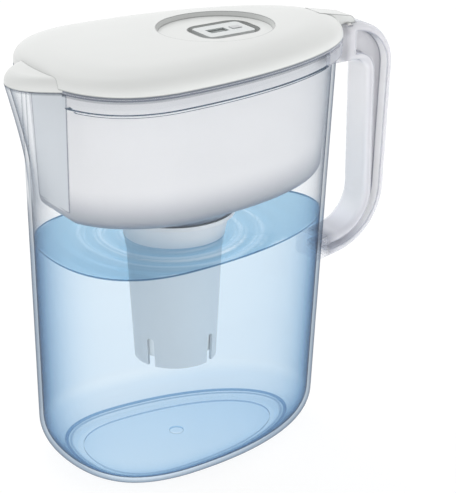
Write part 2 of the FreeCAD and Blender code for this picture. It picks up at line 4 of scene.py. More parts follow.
import bmesh
import bpy
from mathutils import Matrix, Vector

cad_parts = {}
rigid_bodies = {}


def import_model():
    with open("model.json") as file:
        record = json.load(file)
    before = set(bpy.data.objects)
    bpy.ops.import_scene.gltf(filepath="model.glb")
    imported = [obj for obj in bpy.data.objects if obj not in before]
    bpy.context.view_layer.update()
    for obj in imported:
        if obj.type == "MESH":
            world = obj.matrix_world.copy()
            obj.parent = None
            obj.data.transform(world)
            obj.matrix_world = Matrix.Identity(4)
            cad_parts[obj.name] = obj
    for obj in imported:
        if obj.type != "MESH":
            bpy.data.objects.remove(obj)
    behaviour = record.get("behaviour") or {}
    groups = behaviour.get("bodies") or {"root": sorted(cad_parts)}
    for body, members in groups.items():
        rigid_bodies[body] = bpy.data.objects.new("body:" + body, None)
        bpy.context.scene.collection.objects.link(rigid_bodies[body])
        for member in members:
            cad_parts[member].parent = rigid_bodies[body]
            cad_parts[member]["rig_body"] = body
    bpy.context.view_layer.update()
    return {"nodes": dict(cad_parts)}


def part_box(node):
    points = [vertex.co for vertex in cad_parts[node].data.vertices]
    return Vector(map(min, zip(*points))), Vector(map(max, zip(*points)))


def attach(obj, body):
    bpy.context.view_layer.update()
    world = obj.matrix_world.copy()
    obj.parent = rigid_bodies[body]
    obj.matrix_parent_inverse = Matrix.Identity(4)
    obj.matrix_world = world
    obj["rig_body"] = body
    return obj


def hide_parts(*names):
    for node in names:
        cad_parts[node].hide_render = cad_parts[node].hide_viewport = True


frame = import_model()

# Clear vessel: one moulding of clear plastic, egg-shaped in plan, with a drawn spout, a collar for
# the reservoir and a rounded base. Its mesh is the imported surface with its facets smoothed. Its
# dark tints at the collar's steps, the foot and the lines of the floor are painted shade, for the
# darkening that clear plastic shows there as it bends the light. The tint on the rim is a painted
# shadow from the lid.
MERGE_GAP = 1e-6
CREASE = math.radians(32)
WATER_LEVEL = 0.144
WALL_TINT = (0.990, 0.994, 0.998)
FLOOR_TINT = (0.97, 0.985, 0.997)
# Painted shade: the step and ring tints darken the collar's steps, the foot and the lines round the floor.
STEP_PAINTED_SHADE = (0.13, 0.18, 0.24)
RING_PAINTED_SHADE = (0.16, 0.34, 0.54)
WET_TINT = (0.42, 0.66, 0.87)
CORNER_TINT = (0.66, 0.80, 0.92)
# Painted shadow: the rim tint darkens the rim's top edge in the gap under the lid.
RIM_PAINTED_SHADOW = (0.16, 0.19, 0.24)
EDGE_TINT = (0.14, 0.20, 0.28)
# Shares of the upright part of a face's normal, from where a tint starts to where it is whole.
FLAT = (0.985, 0.999)
NEARLY_FLAT = (0.75, 0.95)
STEEP = (0.8, 0.4)
CURVED = (0.15, 0.6)
LINE_TURN = (0.2, 0.4)
LINE_FLAT = (0.995, 0.985)
# Places in metres, from where a tint starts to where it is whole.
FLOOR_Z = (0.0075, 0.0045)
FOOT_Z = (0.0042, 0.0030)
CORNER_Z = (0.026, 0.010)
WET_Z = (WATER_LEVEL + 0.004, WATER_LEVEL - 0.003)
COLLAR_Z = (0.20, 0.21)
RIM_Z = (0.2528, 0.2536)
CHEEK_X = (-0.085, -0.100)
CHEEK_Y = (0.020, 0.027)
CHEEK_Z = (0.160, 0.175)
LINE_BLUR = 0.0002
# Strengths of the tints, and how much of the darker edge the floor and the spout's sides lose.
FOOT_SHADE_STRENGTH = 0.45
WET_STRENGTH = 0.38
CORNER_STRENGTH = 0.2
RIM_SHADOW_STRENGTH = 0.4
FLOOR_EDGE_LOSS = 0.14
CHEEK_EDGE_LOSS = 0.7
INNER_LINE = {"facing": 1.0, "low": 0.0041, "high": 0.0047, "strength": 0.9}
MIDDLE_LINE = {"facing": 1.0, "low": 0.0036, "high": 0.0037, "strength": 0.5}
OUTER_LINE = {"facing": -1.0, "low": 0.0013, "high": 0.0016, "strength": 0.25}


def smooth_moulding(node, name):
    """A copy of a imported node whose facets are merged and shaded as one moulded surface."""
    mesh = frame["nodes"][node].data.copy()
    mesh.name = name
    shape = bmesh.new()
    shape.from_mesh(mesh)
    bmesh.ops.remove_doubles(shape, verts=shape.verts, dist=MERGE_GAP)
    for face in shape.faces:
        face.smooth = True
    for edge in shape.edges:
        edge.smooth = edge.is_manifold and edge.calc_face_angle(math.pi) < CREASE
    shape.to_mesh(mesh)
    shape.free()
    for layer in ("custom_normal", "sharp_face"):
        if layer in mesh.attributes:
            mesh.attributes.remove(mesh.attributes[layer])
    piece = bpy.data.objects.new(name, mesh)
    bpy.context.scene.collection.objects.link(piece)
    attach(piece, frame["nodes"][node]["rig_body"])
    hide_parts(node)
    return piece


def finish_in(piece, material):
    """Gives a piece one material all over."""
    piece.data.materials.clear()
    piece.data.materials.append(material)


class Finish:
    """A material or a world and its node tree, with short ways to add and join nodes."""

    def __init__(self, name, blocks=bpy.data.materials, output="ShaderNodeOutputMaterial"):
        self.block = blocks.new(name)
        self.block.use_nodes = True
        self.tree = self.block.node_tree
        self.tree.nodes.clear()
        self.output = self.add(output)

    def add(self, kind, **settings):
        node = self.tree.nodes.new(kind)
        for name, value in settings.items():
            setattr(node, name, value)
        return node

    def join(self, start, end):
        self.tree.links.new(start, end)

    def feed(self, socket, value):
        """Sets a socket to a number or a colour, or joins another node's output to it."""
        if isinstance(value, (int, float)):
            socket.default_value = value
        elif isinstance(value, tuple):
            socket.default_value = (*value, 1.0)
        else:
            self.join(value, socket)

    def math(self, operation, first, second=0.0, clamp=False):
        node = self.add("ShaderNodeMath", operation=operation, use_clamp=clamp)
        self.feed(node.inputs[0], first)
        self.feed(node.inputs[1], second)
        return node.outputs[0]

    def times(self, first, second):
        return self.math("MULTIPLY", first, second)

    def size(self, value):
        """A value without its sign."""
        return self.math("ABSOLUTE", value)

    def rest(self, share, strength):
        """What is left of one when part of a share is taken away."""
        return self.math("SUBTRACT", 1.0, self.times(share, strength))

    def mix(self, share, first, second):
        """A blend of two colours, which are the seventh and eighth sockets of its node."""
        node = self.add("ShaderNodeMix", data_type="RGBA")
        for socket, value in zip((node.inputs[0], node.inputs[6], node.inputs[7]), (share, first, second)):
            self.feed(socket, value)
        return node.outputs[2]

    def ramp(self, source, low, high):
        """Nought before low, one after high, and a smooth rise between them."""
        node = self.add("ShaderNodeMapRange", interpolation_type="SMOOTHSTEP")
        node.inputs["From Min"].default_value = low
        node.inputs["From Max"].default_value = high
        self.join(source, node.inputs["Value"])
        return node.outputs["Result"]

    def coordinates(self):
        return self.add("ShaderNodeTexCoord").outputs["Object"]

    def normal(self):
        return self.add("ShaderNodeNewGeometry").outputs["Normal"]

    def split(self, vector):
        """The X, Y and Z of a vector."""
        node = self.add("ShaderNodeSeparateXYZ")
        self.join(vector, node.inputs[0])
        return node.outputs

    def noise(self, coordinates, scale):
        node = self.add("ShaderNodeTexNoise")
        node.inputs["Scale"].default_value = scale
        self.join(coordinates, node.inputs["Vector"])
        return node.outputs["Fac"]

    def edge(self, power):
        """Nought face on, one at a grazing angle."""
        facing = self.add("ShaderNodeLayerWeight")
        return self.math("POWER", facing.outputs["Facing"], power)

    def bump(self, height, strength, distance):
        node = self.add("ShaderNodeBump")
        node.inputs["Strength"].default_value = strength
        node.inputs["Distance"].default_value = distance
        self.join(height, node.inputs["Height"])
        return node.outputs["Normal"]

    def crease(self, radius, turn):
        """One along a sharp edge of the piece, nought away from it."""
        rounded = self.add("ShaderNodeBevel", samples=8)
        rounded.inputs["Radius"].default_value = radius
        likeness = self.add("ShaderNodeVectorMath", operation="DOT_PRODUCT")
        self.join(rounded.outputs[0], likeness.inputs[0])
        self.join(self.normal(), likeness.inputs[1])
        return self.ramp(likeness.outputs["Value"], 1.0 - turn / 4, 1.0 - turn)

    def shade(self, first, second, share):
        node = self.add("ShaderNodeMixShader")
        for socket, output in zip(node.inputs, (share, first, second)):
            self.join(output, socket)
        return node.outputs[0]

    def film(self, tint):
        """A clear layer that colours what is seen through it."""
        node = self.add("ShaderNodeBsdfTransparent")
        self.feed(node.inputs["Color"], tint)
        return node.outputs[0]

    def glaze(self, tint, roughness, gain, least, normal=None):
        """A film of one tint under a gloss that grows from its least towards a grazing angle."""
        gloss = self.add("ShaderNodeBsdfGlossy")
        gloss.inputs["Roughness"].default_value = roughness
        if normal is not None:
            self.join(normal, gloss.inputs["Normal"])
        mirror = self.math("ADD", self.times(self.edge(power=5.0), gain), least)
        return self.shade(self.film(tint), gloss.outputs[0], mirror)

    def solid(self, tone, **settings):
        """A shader of one tone, with the other settings named as its sockets are."""
        node = self.add("ShaderNodeBsdfPrincipled")
        self.feed(node.inputs["Base Color"], tone)
        for name, value in settings.items():
            node.inputs[name.replace("_", " ").title()].default_value = value
        return node

    def done(self, shader):
        self.join(shader, self.output.inputs["Surface"])
        return self.block


def floor_shade_line(finish, z, upward, facing, low, high, strength):
    """The share of one painted dark line of shade that runs round the curve of the floor."""
    band = finish.times(finish.ramp(z, low - LINE_BLUR, low), finish.ramp(z, high + LINE_BLUR, high))
    outward = finish.times(upward, facing)
    turned = finish.times(finish.ramp(outward, *LINE_TURN), finish.ramp(outward, *LINE_FLAT))
    return finish.times(finish.times(band, turned), strength)


def clear_plastic():
    finish = Finish("clear_moulded_plastic")
    coordinates = finish.coordinates()
    x, y, z = finish.split(coordinates)
    surface = finish.add("ShaderNodeNewGeometry")
    normal_z = finish.split(surface.outputs["Normal"])["Z"]
    level = finish.size(normal_z)
    upward = finish.times(normal_z, finish.rest(surface.outputs["Backfacing"], 2.0))
    floor_share = finish.times(finish.ramp(level, *FLAT), finish.ramp(z, *FLOOR_Z))
    # Painted shade on the collar's steps and the foot, and painted dark lines round the floor.
    step_shade_share = finish.times(finish.ramp(level, *NEARLY_FLAT), finish.ramp(z, *COLLAR_Z))
    foot_shade_share = finish.times(finish.ramp(level, *STEEP), finish.ramp(z, *FOOT_Z))
    wet_share = finish.times(finish.ramp(z, *WET_Z), finish.edge(power=2.0))
    corner_share = finish.times(finish.ramp(level, *CURVED), finish.ramp(z, *CORNER_Z))
    lines = [floor_shade_line(finish, z, upward, **line) for line in (INNER_LINE, MIDDLE_LINE, OUTER_LINE)]
    tint = WALL_TINT
    for share, colour in (
        (floor_share, FLOOR_TINT),
        (step_shade_share, STEP_PAINTED_SHADE),
        (finish.times(foot_shade_share, FOOT_SHADE_STRENGTH), RING_PAINTED_SHADE),
        *((shade_line_share, RING_PAINTED_SHADE) for shade_line_share in lines),
        (finish.times(wet_share, WET_STRENGTH), WET_TINT),
        (finish.times(corner_share, CORNER_STRENGTH), CORNER_TINT),
        # Painted shadow of the lid on the rim's top edge.
        (finish.times(finish.ramp(z, *RIM_Z), RIM_SHADOW_STRENGTH), RIM_PAINTED_SHADOW),
    ):
        tint = finish.mix(share, tint, colour)
    cheek_share = finish.times(finish.ramp(z, *CHEEK_Z), finish.ramp(x, *CHEEK_X))
    cheek_share = finish.times(cheek_share, finish.ramp(finish.size(y), *CHEEK_Y))
    floor_loss = finish.times(floor_share, FLOOR_EDGE_LOSS)
    edge_share = finish.math("SUBTRACT", finish.edge(power=4.0), floor_loss, clamp=True)
    edge_share = finish.times(edge_share, finish.rest(cheek_share, CHEEK_EDGE_LOSS))
    flow = finish.bump(finish.noise(coordinates, scale=9.0), strength=0.04, distance=0.002)
    tint = finish.mix(edge_share, tint, EDGE_TINT)
    return finish.done(finish.glaze(tint, roughness=0.03, gain=0.22, least=0.018, normal=flow))


vessel = smooth_moulding("pitcher_body", "vessel")
finish_in(vessel, clear_plastic())

# Water: the filtered water that half fills the vessel, a closed body that follows the inside of
# the vessel's wall, with a meniscus at the wall and soft rings round the filter sleeve. The rings'
# crests carry a painted highlight, and the waterline at the wall a painted dark line of shade.
WATER_GAP = 0.0003
MENISCUS = 0.0009
MENISCUS_REACH = 0.0018
RING_COUNT = 40
RING_CROWDING = 1.5
RIPPLE_HEIGHT = 0.0008
RIPPLE_LENGTH = 0.0135
RIPPLE_MIDDLE = 0.045
RIPPLE_SPREAD = 0.03
RIPPLE_WANDER = 1.1
WANDER_PER_METRE = 40
STILL_LEVEL = WATER_LEVEL - MENISCUS
TOP_FACES = (0.93, 0.985)
SIDE_FACES = (0.7, 0.5)
BED_Z = (0.0058, 0.0046)
BED_TO_TOP_Z = (0.02, 0.03)
CREST_Z = (STILL_LEVEL + RIPPLE_HEIGHT * 0.35, STILL_LEVEL + RIPPLE_HEIGHT)
LIP_Z = (WATER_LEVEL - 0.0014, STILL_LEVEL)
SIDE_WATER = (0.965, 0.985, 0.995)
BED_WATER = (0.89, 0.95, 0.985)
TOP_WATER = (0.42, 0.59, 0.72)
# Painted highlight: the crest tint lightens the tops of the ripples like a glint.
CREST_PAINTED_GLINT = (0.86, 0.93, 0.98)
# Painted shade: the lip tint draws a dark line where the water meets the wall, for the meniscus bending the
# light.
LIP_PAINTED_SHADE = (0.13, 0.27, 0.42)
EDGE_WATER = (0.38, 0.68, 0.90)
DEEP_WATER = (0.30, 0.62, 0.86, 1.0)
WATER_DENSITY = 2.1
CREST_GLINT_STRENGTH = 0.6
BED_EDGE_LOSS = 0.6


def inner_skin():
    """The inside of the vessel's wall below the water's level, drawn in by the water's gap."""
    shape = bmesh.new()
    shape.from_mesh(vessel.data)
    everything = shape.verts[:] + shape.edges[:] + shape.faces[:]
    level = (0, 0, WATER_LEVEL)
    bmesh.ops.bisect_plane(shape, geom=everything, plane_co=level, plane_no=(0, 0, 1), clear_outer=True)
    floor_low = min(vert.co.z for vert in shape.verts)
    seeds = [vert for vert in shape.verts if vert.co.z < floor_low + MERGE_GAP]
    outside = set(seeds)
    while seeds:
        vert = seeds.pop()
        for edge in vert.link_edges:
            other = edge.other_vert(vert)
            if other not in outside:
                outside.add(other)
                seeds.append(other)
    bmesh.ops.delete(shape, geom=list(outside), context="VERTS")
    bmesh.ops.remove_doubles(shape, verts=shape.verts, dist=WATER_GAP / 3)
    bmesh.ops.recalc_face_normals(shape, faces=shape.faces)
    shape.normal_update()
    lowest = min(shape.verts, key=lambda vert: vert.co.z)
    inside_out = lowest.normal.z > 0
    gap = -WATER_GAP if inside_out else WATER_GAP
    for vert in shape.verts:
        vert.co -= vert.normal * gap
    if inside_out:
        bmesh.ops.reverse_faces(shape, faces=shape.faces)
    return shape


def rim_loop(shape):
    """The corners of the skin's open rim, in order round it."""
    first = next(edge for edge in shape.edges if edge.is_boundary)
    loop = [first.verts[0]]
    last = None
    while True:
        last = next(edge for edge in loop[-1].link_edges if edge.is_boundary and edge is not last)
        follow = last.other_vert(loop[-1])
        if follow is loop[0]:
            return loop
        loop.append(follow)


def surface_point(middle, rim_point, share):
    """A point of the water's surface, at a share of the way from its middle to its rim."""
    whole = rim_point - middle
    arm = whole * share
    climb = MENISCUS * math.exp(-whole.length * (1 - share) / MENISCUS_REACH)
    wander = RIPPLE_WANDER * math.sin(arm.x * WANDER_PER_METRE)
    swell = RIPPLE_HEIGHT * math.sin(2 * math.pi * arm.length / RIPPLE_LENGTH + wander)
    fade = math.exp(-((arm.length - RIPPLE_MIDDLE) / RIPPLE_SPREAD) ** 2)
    return middle.x + arm.x, middle.y + arm.y, STILL_LEVEL + climb + swell * fade


def water_body():
    """The inner skin, closed on top by rings that shrink from its rim to the sleeve's axis."""
    shape = inner_skin()
    ring = rim_loop(shape)
    for edge in shape.edges:
        if edge.is_boundary:
            edge.smooth = False
    sleeve_low, sleeve_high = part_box("filter_sleeve")
    middle = (sleeve_low + sleeve_high) / 2
    middle.z = WATER_LEVEL
    outline = [vert.co.copy() for vert in ring]
    for index in range(1, RING_COUNT):
        share = 1.0 - (index / RING_COUNT) ** RING_CROWDING
        fresh = [shape.verts.new(surface_point(middle, point, share)) for point in outline]
        for step in range(len(ring)):
            other = (step + 1) % len(ring)
            shape.faces.new((ring[step], ring[other], fresh[other], fresh[step]))
        ring = fresh
    centre = shape.verts.new((middle.x, middle.y, STILL_LEVEL))
    for step in range(len(ring)):
        shape.faces.new((ring[step], ring[(step + 1) % len(ring)], centre))
    bmesh.ops.recalc_face_normals(shape, faces=shape.faces)
    for face in shape.faces:
        face.smooth = True
    mesh = bpy.data.meshes.new("water")
    shape.to_mesh(mesh)
    shape.free()
    piece = bpy.data.objects.new("water", mesh)
    bpy.context.scene.collection.objects.link(piece)
    return piece


def filtered_water():
    finish = Finish("filtered_water")
    height = finish.split(finish.coordinates())["Z"]
    level = finish.size(finish.split(finish.normal())["Z"])
    top_share = finish.ramp(level, *TOP_FACES)
    bed_share = finish.ramp(height, *BED_Z)
    # Painted highlight on the ripples' crests.
    crest_glint_share = finish.times(finish.ramp(height, *CREST_Z), top_share)
    # Painted shade along the waterline at the wall.
    lip_shade_share = finish.times(finish.ramp(height, *LIP_Z), finish.ramp(level, *SIDE_FACES))
    edge_share = finish.times(finish.edge(power=2.1), finish.rest(bed_share, BED_EDGE_LOSS))
    flat_tint = finish.mix(finish.ramp(height, *BED_TO_TOP_Z), BED_WATER, TOP_WATER)
    tint = SIDE_WATER
    for share, colour in (
        (finish.math("MAXIMUM", top_share, bed_share), flat_tint),
        (finish.times(crest_glint_share, CREST_GLINT_STRENGTH), CREST_PAINTED_GLINT),
        (lip_shade_share, LIP_PAINTED_SHADE),
        (edge_share, EDGE_WATER),
    ):
        tint = finish.mix(share, tint, colour)
    depth = finish.add("ShaderNodeVolumeAbsorption")
    depth.inputs["Color"].default_value = DEEP_WATER
    depth.inputs["Density"].default_value = WATER_DENSITY
    finish.join(depth.outputs[0], finish.output.inputs["Volume"])
    return finish.done(finish.glaze(tint, roughness=0.04, gain=0.4, least=0.02))


water = water_body()
finish_in(water, filtered_water())
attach(water, "pitcher")

# Handle: an open loop of milky plastic with a recessed web on each side, moulded in one and snapped
# round the back of the vessel's collar. Its foot and its clip lie on the clear wall, and the finish
# lets more light through there.
LINE_RADIUS = 0.0018
# Painted shade: a dark line along the sharp edges of the milky pieces.
LINE_PAINTED_SHADE = (0.12, 0.14, 0.20)
CLOUD_TONE = (0.80, 0.82, 0.86)
CLOUD_STRENGTH = 0.05
GRAZING_TONE = (0.30, 0.37, 0.46)
GRAZING_STRENGTH = 0.8
GRAZING_BODY = 0.6
MILK_FILM = (0.975, 0.982, 0.993)
FOOT_LEAST = 0.16
CLIP_LOSS = 0.42
FOOT_X = (0.082, 0.094)
FOOT_TOP_Z = (0.135, 0.16)
FOOT_BACK_FACES = (-0.7, -0.4)
CLIP_X = (0.101, 0.096)
CLIP_Z = (0.215, 0.222)


def milky_plastic(
    name,
    colour,
    low_colour,
    low_z,
    painted_front_shading,
    front_turn,
    line,
    line_turn,
    see_through,
    roughness,
    fade=None,
    layer=None,
):
    """Cloudy plastic, of one tone below and another above, that lets some light straight through, with
    painted shading on faces turned towards the front and painted shade along its sharp edges.
    """
    finish = Finish(name)
    coordinates = finish.coordinates()
    place = finish.split(coordinates)
    normal_x = finish.split(finish.normal())["X"]
    # Painted shade along the sharp edges.
    shade_line_share = finish.times(finish.crease(LINE_RADIUS, line_turn), line)
    grazing = finish.times(finish.edge(power=2.0), see_through * GRAZING_BODY)
    body_share = finish.math("ADD", grazing, 1.0 - see_through)
    if fade:
        shade_line_share, body_share = fade(finish, place, normal_x, shade_line_share, body_share)
    tone = finish.mix(finish.ramp(place["Z"], *low_z), low_colour, colour)
    layers = [
        # Painted shading: faces turned towards the front take a tone of their own, lighter on the handle
        # and darker on the hopper.
        (finish.ramp(normal_x, *front_turn), painted_front_shading),
        (shade_line_share, LINE_PAINTED_SHADE),
        (finish.times(finish.noise(coordinates, scale=14.0), CLOUD_STRENGTH), CLOUD_TONE),
        (finish.times(finish.edge(power=5.0), GRAZING_STRENGTH), GRAZING_TONE),
    ]
    if layer:
        layers.append(layer(finish, place))
    for share, layer_tone in layers:
        tone = finish.mix(share, tone, layer_tone)
    plastic = finish.solid(
        tone,
        roughness=roughness,
        subsurface_weight=0.8,
        subsurface_radius=(1.0, 1.0, 1.0),
        subsurface_scale=0.006,
        coat_weight=0.25,
        coat_roughness=0.08,
    )
    grain = finish.noise(coordinates, scale=900.0)
    finish.join(finish.bump(grain, strength=0.03, distance=0.0002), plastic.inputs["Normal"])
    return finish.done(finish.shade(finish.film(MILK_FILM), plastic.outputs[0], body_share))


def fade_on_wall(finish, place, normal_x, shade_line_share, body_share):
    """The shares of lines and body, less on the foot and the clip, where they lie on the wall."""
    off_foot_x = finish.ramp(place["X"], *FOOT_X)
    off_foot = finish.math("MAXIMUM", off_foot_x, finish.ramp(place["Z"], *FOOT_TOP_Z))
    least = finish.times(finish.ramp(normal_x, *FOOT_BACK_FACES), FOOT_LEAST)
    body_share = finish.times(body_share, finish.math("MAXIMUM", off_foot, least))
    clip_share = finish.times(finish.ramp(place["Z"], *CLIP_Z), finish.ramp(place["X"], *CLIP_X))
    body_share = finish.math("SUBTRACT", body_share, finish.times(clip_share, CLIP_LOSS), clamp=True)
    return finish.times(shade_line_share, off_foot), body_share


handle = smooth_moulding("handle", "handle_loop")
handle_plastic = milky_plastic(
    "milky_handle_plastic",
    colour=(0.61, 0.61, 0.64),
    low_colour=(0.61, 0.61, 0.65),
    low_z=(0.09, 0.16),
    # Painted light: the inner faces, turned to the vessel, are lighter, for light let through the web.
    painted_front_shading=(0.93, 0.93, 0.96),
    front_turn=(-0.25, -0.9),
    line=0.5,
    line_turn=0.03,
    see_through=0.2,
    roughness=0.22,
    fade=fade_on_wall,
)
finish_in(handle, handle_plastic)

# Reservoir: the milky hopper that hangs by its flange on the vessel's rim, moulded with a thinner
# wall than the handle. Its front wall is flat and painted darker, and its floor runs down to the
# filter's socket and is painted darker and bluer towards the bottom, both painted shade. The top of
# its flange carries a painted shadow from the lid.
FRONT_FACING = -0.99
SAME_PLANE = 0.99999
FLANGE_Z = 0.2554
FLANGE_BLUR = 0.0004
# Painted shadow of the lid on the top of the flange.
FLANGE_SHADOW_STRENGTH = 0.75
FLANGE_PAINTED_SHADOW = (0.16, 0.19, 0.23)


def sharpen_front(piece):
    """Marks the edges round the flat front wall as sharp."""
    facing = [face for face in piece.data.polygons if face.normal.x < FRONT_FACING]
    front_normal = max(facing, key=lambda face: face.area).normal.copy()
    shape = bmesh.new()
    shape.from_mesh(piece.data)
    for edge in shape.edges:
        flat = [face.normal.dot(front_normal) > SAME_PLANE for face in edge.link_faces]
        if any(flat) and not all(flat):
            edge.smooth = False
    shape.to_mesh(piece.data)
    shape.free()


def flange_gap_shadow(finish, place):
    """A painted shadow: the dark tone on top of the flange, in the gap under the lid."""
    on_top = finish.ramp(place["Z"], FLANGE_Z, FLANGE_Z + FLANGE_BLUR)
    return finish.times(on_top, FLANGE_SHADOW_STRENGTH), FLANGE_PAINTED_SHADOW


reservoir = smooth_moulding("reservoir", "hopper")
sharpen_front(reservoir)
hopper_plastic = milky_plastic(
    "milky_hopper_plastic",
    colour=(0.865, 0.86, 0.88),
    # Painted shade: the low colour darkens the hopper towards its bottom.
    low_colour=(0.14, 0.175, 0.225),
    low_z=(0.164, 0.198),
    # Painted shade: the flat front wall is darker and bluer.
    painted_front_shading=(0.68, 0.72, 0.765),
    front_turn=(-0.983, -0.990),
    line=0.9,
    line_turn=0.0022,
    see_through=0.14,
    roughness=0.3,
    layer=flange_gap_shadow,
)
finish_in(reservoir, hopper_plastic)

# Filter sleeve: the socket under the reservoir that holds the filter, a tapered tube of white
# plastic, open and notched at its lower end so that the filtered water runs out.
CLOUD_SHADE = 0.965
ROUGHNESS_SPREAD = 0.08


def white_plastic(name, colour, roughness, shine, layers=None):
    """Opaque plastic with a faint cloud in its tone, and a fine moulded grain."""
    finish = Finish(name)
    coordinates = finish.coordinates()
    shade = tuple(channel * CLOUD_SHADE for channel in colour)
    tone = finish.mix(finish.noise(coordinates, scale=22.0), shade, colour)
    if layers:
        for share, layer_tone in layers(finish, coordinates):
            tone = finish.mix(share, tone, layer_tone)
    plastic = finish.solid(tone, coat_weight=shine, coat_roughness=0.15)
    unevenness = finish.times(finish.noise(coordinates, scale=60.0), ROUGHNESS_SPREAD)
    least_rough = roughness - ROUGHNESS_SPREAD / 2
    finish.join(finish.math("ADD", unevenness, least_rough), plastic.inputs["Roughness"])
    grain = finish.noise(coordinates, scale=1400.0)
    finish.join(finish.bump(grain, strength=0.04, distance=0.0001), plastic.inputs["Normal"])
    return finish.done(plastic.outputs[0])


sleeve = smooth_moulding("filter_sleeve", "filter_socket")
sleeve_white = white_plastic("white_sleeve_plastic", colour=(0.60, 0.62, 0.635), roughness=0.4, shine=0.1)
finish_in(sleeve, sleeve_white)

# Cartridge: the replaceable filter that stands in the sleeve, a white cup with a slotted cap and
# a pull knob, closed by two mesh discs over a bed of dark granules.
WEAVE_SCALE = 9000.0
GRANULE_SCALE = 900.0
GAP_IN_WEAVE = (0.35, 0.35, 0.34)
THREAD = (0.82, 0.82, 0.79)
DARK_CARBON = (0.02, 0.02, 0.02)
LIGHT_CARBON = (0.16, 0.15, 0.14)


def woven_mesh():
    finish = Finish("fine_woven_mesh")
    x, y, _ = finish.split(finish.coordinates())
    across, along = (finish.math("SINE", finish.times(way, WEAVE_SCALE)) for way in (x, y))
    weave = finish.math("MAXIMUM", across, along)
    cloth = finish.solid(finish.mix(weave, GAP_IN_WEAVE, THREAD), roughness=0.8)
    finish.join(finish.bump(weave, strength=0.5, distance=0.0002), cloth.inputs["Normal"])
    return finish.done(cloth.outputs[0])


def carbon_granules():
    finish = Finish("carbon_granules")
    cells = finish.add("ShaderNodeTexVoronoi")
    cells.inputs["Scale"].default_value = GRANULE_SCALE
    finish.join(finish.coordinates(), cells.inputs["Vector"])
    depth = cells.outputs["Distance"]
    grit = finish.solid(finish.mix(depth, DARK_CARBON, LIGHT_CARBON), roughness=0.7)
    finish.join(finish.bump(depth, strength=0.8, distance=0.0008), grit.inputs["Normal"])
    return finish.done(grit.outputs[0])


cartridge_colour = (0.80, 0.80, 0.79)
cartridge_white = white_plastic("white_cartridge_plastic", cartridge_colour, roughness=0.45, shine=0.1)
for node, name in (("cartridge_shell", "cartridge_cup"), ("cartridge_cap", "cartridge_top")):
    finish_in(smooth_moulding(node, name), cartridge_white)
mesh_finish = woven_mesh()
for node in ("lower_screen", "upper_screen"):
    finish_in(frame["nodes"][node], mesh_finish)
finish_in(frame["nodes"]["media_bed"], carbon_granules())

# Lid: a thin white moulding, domed and soft at the edge, with a lower tongue over the spout, a
# thumb dish with the indicator's pocket in it, and a strap with a hinge barrel at the back.
# Painted shade: a dark line along the lid's sharp edges.
DISH_LINE_RADIUS = 0.0013
DISH_LINE_TURN = 0.05
DISH_LINE_STRENGTH = 0.6
DISH_LINE_PAINTED_SHADE = (0.16, 0.17, 0.17)
POCKET_HALF_LENGTH = 0.0212
POCKET_HALF_WIDTH = 0.0162
POCKET_DEPTH = 0.0054
POCKET_BLUR = 0.0001
POCKET_SHADE_DEPTH = 0.0008
POCKET_STRENGTH = 0.25
POCKET_TONE = (0.12, 0.125, 0.125)


def lid_layers(finish, coordinates):
    """Painted shade: the dark line along the lid's sharp edges, and the shade in the indicator's pocket."""
    shade_line_share = finish.times(finish.crease(DISH_LINE_RADIUS, DISH_LINE_TURN), DISH_LINE_STRENGTH)
    case_low, case_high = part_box("indicator_case")
    top_z = case_low.z + POCKET_DEPTH
    x, y, z = finish.split(coordinates)
    along = finish.size(finish.math("SUBTRACT", x, (case_low.x + case_high.x) / 2))
    within_length = finish.ramp(along, POCKET_HALF_LENGTH, POCKET_HALF_LENGTH - POCKET_BLUR)
    within_width = finish.ramp(finish.size(y), POCKET_HALF_WIDTH, POCKET_HALF_WIDTH - POCKET_BLUR)
    below_top = finish.ramp(z, top_z, top_z - POCKET_SHADE_DEPTH)
    pocket_share = finish.times(finish.times(within_length, within_width), below_top)
    return (shade_line_share, DISH_LINE_PAINTED_SHADE), (finish.times(pocket_share, POCKET_STRENGTH), POCKET_TONE)


lid = smooth_moulding("lid", "lid_dome")
lid_colour = (0.616, 0.627, 0.618)
lid_white = white_plastic("white_lid_plastic", lid_colour, roughness=0.3, shine=0.2, layers=lid_layers)
finish_in(lid, lid_white)

# Steel pieces: the drawn pin in the lid's hinge barrel, and the snap dome, coin cell and sprung
# contact of the indicator, stamped from plated sheet. Each is held by the pieces round it.
STEEL_NODES = ("hinge_pin", "dome_switch", "coin_cell", "battery_contact")
DARK_STEEL = (0.55, 0.55, 0.55)
LIGHT_STEEL = (0.72, 0.72, 0.71)


def grained(name, dark, light, scale, **settings):
    """A finish whose tone wanders between a dark and a light one."""
    finish = Finish(name)
    tone = finish.mix(finish.noise(finish.coordinates(), scale), dark, light)
    return finish.done(finish.solid(tone, **settings).outputs[0])


steel_finish = grained("plated_steel", DARK_STEEL, LIGHT_STEEL, scale=700.0, metallic=1.0, roughness=0.32)
for node in STEEL_NODES:
    finish_in(frame["nodes"][node], steel_finish)

# Filter life indicator: a small white case in the lid's pocket with a face plate, a clear window
# over a grey display on a green board, and a soft grey button that presses the snap dome.
BAR_COUNT = 5
BAR_STEP = 0.0017
BAR_WIDTH = 0.0010
BAR_LENGTH = 0.0036
BAR_THICK = 0.00004
WINDOW_TINT = (0.92, 0.94, 0.94)
DARK_GLASS = (0.42, 0.44, 0.44)
LIGHT_GLASS = (0.50, 0.52, 0.51)
DARK_GREEN = (0.02, 0.14, 0.06)
LIGHT_GREEN = (0.04, 0.22, 0.10)
DARK_INK = (0.015, 0.017, 0.017)
LIGHT_INK = (0.03, 0.033, 0.032)


def clear_window():
    finish = Finish("clear_window")
    return finish.done(finish.glaze(WINDOW_TINT, roughness=0.05, gain=0.5, least=0.04))


